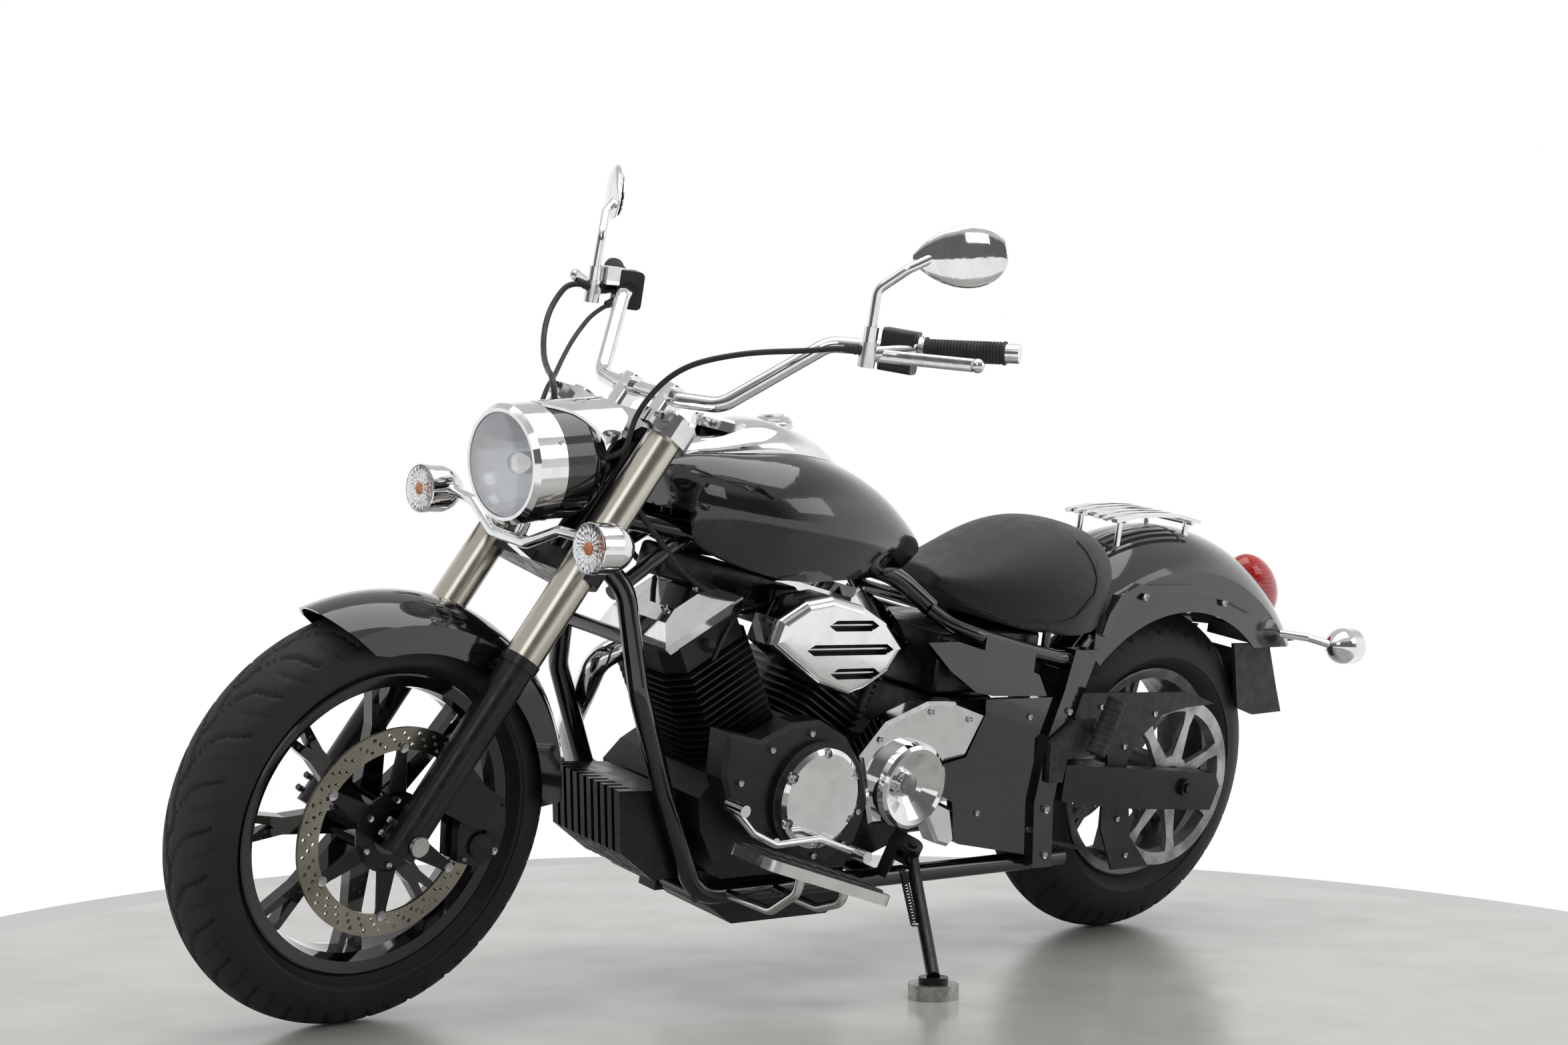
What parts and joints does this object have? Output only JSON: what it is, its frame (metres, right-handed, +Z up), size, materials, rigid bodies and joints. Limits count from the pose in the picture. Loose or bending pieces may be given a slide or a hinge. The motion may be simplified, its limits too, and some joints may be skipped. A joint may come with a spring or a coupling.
{
  "type": "cruiser motorcycle",
  "caption": "Cruiser motorcycle with an air-cooled V-twin, teardrop tank, solo saddle, pull-back handlebar and belt drive, leaning on its side stand.",
  "frame": {"origin": "on the floor, midway between the motorcycle's front and back ends and between its left and right reach, as it leans on its side stand", "axes": "+X forward, +Y to the rider's left, +Z up"},
  "size_m": [2.4234, 1.0094, 1.3989],
  "materials": {
    "aluminium": "polished aluminium",
    "black_gloss": "gloss black paint",
    "black_satin": "satin black powder coat",
    "cast_grey": "bead blasted",
    "chrome": "polished chrome",
    "grey_gloss": "dark grey gloss paint",
    "leather": "black grained leather",
    "lens": "clear lens",
    "nickel": "satin nickel",
    "plastic": "matte black plastic",
    "red_lens": "red lens",
    "rubber": "matte rubber",
    "steel": "brushed steel",
    "tyre": "matte tyre rubber"
  },
  "bodies": {
    "chassis": {"frame_backbone": "black_satin", "frame_cradle": "black_satin", "frame_uprights": "black_satin", "crankcase": "black_satin", "front_cylinder": "black_satin", "rear_cylinder": "black_satin", "rocker_covers": "chrome", "clutch_cover": "black_satin", "clutch_cap": "chrome", "pulley_cover": "chrome", "air_cleaner": "chrome", "fuel_tank": "black_gloss", "tank_console": "chrome", "seat": "leather", "rear_fender": "grey_gloss", "luggage_rack": "chrome", "tail_light": "red_lens", "rear_signals": "chrome", "plate_bracket": "plastic", "side_covers": "black_gloss", "swingarm": "black_satin", "drive_belt": "rubber", "belt_guards": "plastic", "passenger_pegs": "rubber", "floorboards": "rubber", "foot_controls": "chrome", "regulator": "black_satin", "exhaust": "chrome", "rear_caliper": "black_satin", "stand_bracket": "black_satin"},
    "steering": {"fork_covers": "nickel", "fork_sliders": "black_satin", "lower_clamp": "black_satin", "upper_clamp": "aluminium", "front_axle": "steel", "front_fender": "black_gloss", "front_caliper": "black_satin", "handlebar": "chrome", "grips": "rubber", "switchgear": "plastic", "levers": "aluminium", "mirrors": "chrome", "headlamp_lens": "lens", "headlamp_bezel": "chrome", "headlamp_shell": "black_gloss", "headlamp_visor": "chrome", "front_signals": "chrome", "clutch_cable": "rubber", "brake_hose": "rubber", "throttle_cable": "rubber"},
    "front_wheel": {"front_tyre": "tyre", "front_rim": "black_gloss", "front_disc": "steel"},
    "rear_wheel": {"rear_tyre": "tyre", "rear_rim": "black_gloss", "rear_pulley": "cast_grey", "rear_disc": "steel"},
    "side_stand": {"side_stand": "black_satin", "stand_puck": "steel"}
  },
  "joints": [
    {"name": "steering", "type": "hinge", "parent": "chassis", "child": "steering", "pos_m": [0.85348, -0.13636, 0.29018], "axis": [-0.5291, 0.1548, 0.8343], "range_deg": [-34.26, 25.74]},
    {"name": "front_wheel_spin", "type": "hinge", "parent": "steering", "child": "front_wheel", "pos_m": [0.89292, -0.12848, 0.31372], "axis": [-0.063, 0.9733, -0.2205], "continuous": true},
    {"name": "rear_wheel_spin", "type": "hinge", "parent": "chassis", "child": "rear_wheel", "pos_m": [-0.79197, -0.1312, 0.31802], "axis": [0, 0.9832, -0.1824], "continuous": true},
    {"name": "side_stand_fold", "type": "hinge", "parent": "chassis", "child": "side_stand", "pos_m": [-0.08504, 0.02983, 0.21014], "axis": [0.1788, 0.6198, 0.7641], "range_deg": [0, 106.84]}
  ]
}
